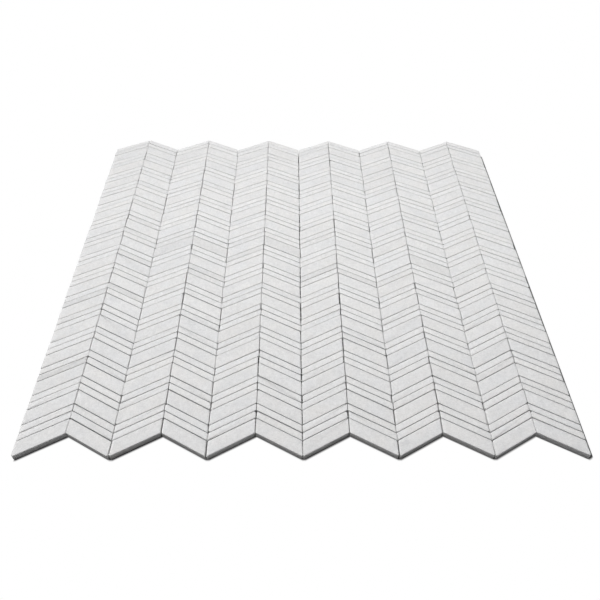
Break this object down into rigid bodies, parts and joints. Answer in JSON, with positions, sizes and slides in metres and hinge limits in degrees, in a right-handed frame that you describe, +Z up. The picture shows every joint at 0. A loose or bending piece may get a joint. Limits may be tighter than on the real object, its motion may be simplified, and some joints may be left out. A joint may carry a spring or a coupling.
{
  "type": "chevron mosaic wall tile",
  "caption": "Flat sheet of honed white marble strips, wide and narrow in turn, laid in sloping columns that meet as chevrons and held on a glass-fibre net for bonding to a wall.",
  "frame": {"origin": "middle of the net's underside, on the surface that the sheet lies on", "axes": "+Z up out of the honed face, +X across the columns, +Y along the columns from the edge that the chevrons point to towards the other edge"},
  "size_m": [0.3044, 0.305, 0.0043],
  "materials": {
    "marble": "satin",
    "net": "matte"
  },
  "bodies": {
    "root": {"column_01_wide_strips": "marble", "column_01_narrow_strips": "marble", "column_02_wide_strips": "marble", "column_02_narrow_strips": "marble", "column_03_wide_strips": "marble", "column_03_narrow_strips": "marble", "column_04_wide_strips": "marble", "column_04_narrow_strips": "marble", "column_05_wide_strips": "marble", "column_05_narrow_strips": "marble", "column_06_wide_strips": "marble", "column_06_narrow_strips": "marble", "column_07_wide_strips": "marble", "column_07_narrow_strips": "marble", "column_08_wide_strips": "marble", "column_08_narrow_strips": "marble", "column_09_wide_strips": "marble", "column_09_narrow_strips": "marble", "column_10_wide_strips": "marble", "column_10_narrow_strips": "marble", "column_11_wide_strips": "marble", "column_11_narrow_strips": "marble", "column_12_wide_strips": "marble", "column_12_narrow_strips": "marble", "net_warp_yarns": "net", "net_weft_yarns": "net"}
  },
  "joints": []
}
